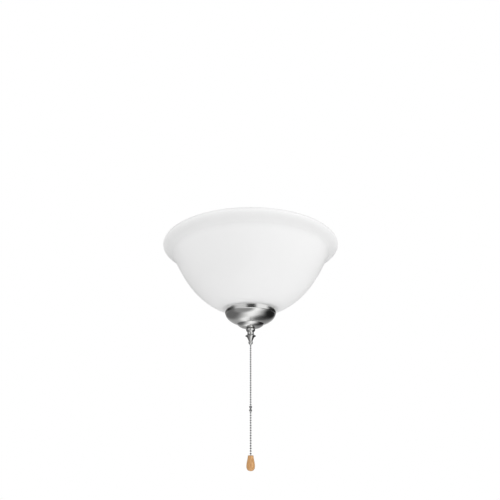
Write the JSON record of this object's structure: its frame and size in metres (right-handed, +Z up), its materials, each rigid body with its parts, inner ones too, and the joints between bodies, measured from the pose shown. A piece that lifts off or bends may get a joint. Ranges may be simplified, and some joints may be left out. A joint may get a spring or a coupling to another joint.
{
  "type": "ceiling fan light kit",
  "caption": "Light kit for a ceiling fan: fitter with angled bulb holders, opal glass bowl hung on a hollow rod, brushed metal cup, finial, and a bead pull chain with a wooden pendant.",
  "frame": {"origin": "centre of the fitter housing's flat top face, where the pipe nipple leaves it", "axes": "+Z up along the nipple, towards the fan; +X through the two bulbs; +Y away from the picture's camera"},
  "size_m": [0.305, 0.305, 0.427],
  "materials": {
    "painted_housing": "brushed nickel finish",
    "zinc_steel": "bright zinc plate",
    "brass": "raw brass",
    "opal_glass": "white opal, satin outside",
    "brushed_nickel": "circular brushed nickel, lacquered",
    "polished_nickel": "dark polished nickel",
    "chain_steel": "nickel plated",
    "pendant_wood": "turned beech, clear lacquer",
    "holder_phenolic": "moulded phenolic",
    "shell_aluminium": "drawn",
    "bulb_white": "moulded, gloss",
    "bulb_globe": "opal diffuser",
    "lead_black": "extruded insulation",
    "lead_white": "extruded insulation",
    "connector": "moulded",
    "black_rubber": "moulded",
    "white_nylon": "moulded",
    "spring_steel": "music wire"
  },
  "bodies": {
    "kit": {"bottom_cap": "brushed_nickel", "bracket_rivets": "shell_aluminium", "fitter_housing": "painted_housing", "fitter_plate": "zinc_steel", "glass_bowl": "opal_glass", "glass_grommet": "black_rubber", "glass_rubber_washer": "black_rubber", "glass_steel_washer": "zinc_steel", "housing_screws": "polished_nickel", "left_centre_contact": "brass", "left_screw_shell": "shell_aluminium", "left_socket_body": "holder_phenolic", "left_socket_bracket": "zinc_steel", "nipple": "zinc_steel", "nipple_lock_washer": "zinc_steel", "nipple_nut": "brass", "right_centre_contact": "brass", "right_screw_shell": "shell_aluminium", "right_socket_body": "holder_phenolic", "right_socket_bracket": "zinc_steel", "rod": "zinc_steel", "rod_lock_washer": "zinc_steel", "rod_mouth_bushing": "white_nylon", "rod_nuts": "brass", "rod_stop_nut": "brass", "rod_yoke": "zinc_steel", "socket_leads_black": "lead_black", "socket_leads_white": "lead_white", "socket_screws": "zinc_steel", "switch_bushing": "brass", "switch_bushing_nut": "brass", "switch_case": "holder_phenolic", "switch_leads": "lead_black", "switch_lid": "holder_phenolic", "switch_pivot_pin": "spring_steel", "switch_spring": "spring_steel", "switch_terminals": "brass", "wire_connectors": "connector", "wire_grommets": "black_rubber", "yoke_rivets": "shell_aluminium"},
    "pull": {"switch_plunger": "brass", "chain_in_rod": "chain_steel"},
    "lever": {"switch_lever": "white_nylon"},
    "finial": {"finial": "polished_nickel"},
    "mouth_link": {"mouth_bead": "chain_steel"},
    "upper_chain": {"upper_chain": "chain_steel"},
    "coupling": {"chain_coupling": "chain_steel", "lower_chain": "chain_steel"},
    "pendant": {"pendant": "pendant_wood"},
    "left_bulb": {"left_bulb_body": "bulb_white", "left_bulb_cap": "shell_aluminium", "left_bulb_contact": "brass", "left_bulb_globe": "bulb_globe"},
    "right_bulb": {"right_bulb_body": "bulb_white", "right_bulb_cap": "shell_aluminium", "right_bulb_contact": "brass", "right_bulb_globe": "bulb_globe"}
  },
  "joints": [
    {"name": "pull_slide", "type": "slide", "parent": "kit", "child": "pull", "axis": [0, 0, -1], "range_m": [0, 0.008], "stiffness_N_per_m": 600, "springref_m": -0.008, "deforming": ["switch_spring"]},
    {"name": "lever_turn", "type": "hinge", "parent": "kit", "child": "lever", "pos_m": [0, -0.0126, -0.02262], "axis": [-1, 0, 0], "range_deg": [0, 35.4]},
    {"name": "chain_swing_fore", "type": "hinge", "parent": "pull", "child": "mouth_link", "pos_m": [0, 0, -0.21787], "axis": [1, 0, 0], "range_deg": [-35, 35]},
    {"name": "chain_swing_side", "type": "hinge", "parent": "mouth_link", "child": "upper_chain", "pos_m": [0, 0, -0.21787], "axis": [0, 1, 0], "range_deg": [-35, 35]},
    {"name": "coupling_swing", "type": "hinge", "parent": "upper_chain", "child": "coupling", "pos_m": [0, 0, -0.31537], "axis": [1, 0, 0], "range_deg": [-20, 20]},
    {"name": "pendant_swing", "type": "hinge", "parent": "coupling", "child": "pendant", "pos_m": [0, 0, -0.38807], "axis": [0, 1, 0], "range_deg": [-25, 25]},
    {"name": "finial_turn", "type": "hinge", "parent": "kit", "child": "finial", "pos_m": [0, 0, -0.1881], "axis": [0, 0, 1], "continuous": true},
    {"name": "left_bulb_turn", "type": "hinge", "parent": "kit", "child": "left_bulb", "pos_m": [-0.024, 0, -0.0553], "axis": [-0.7986, 0, -0.6018], "continuous": true},
    {"name": "right_bulb_turn", "type": "hinge", "parent": "kit", "child": "right_bulb", "pos_m": [0.024, 0, -0.0553], "axis": [0.7986, 0, -0.6018], "continuous": true}
  ],
  "couplings": [
    {"joint": "lever_turn", "follows": "pull_slide", "rad_per_m": 76.849}
  ]
}
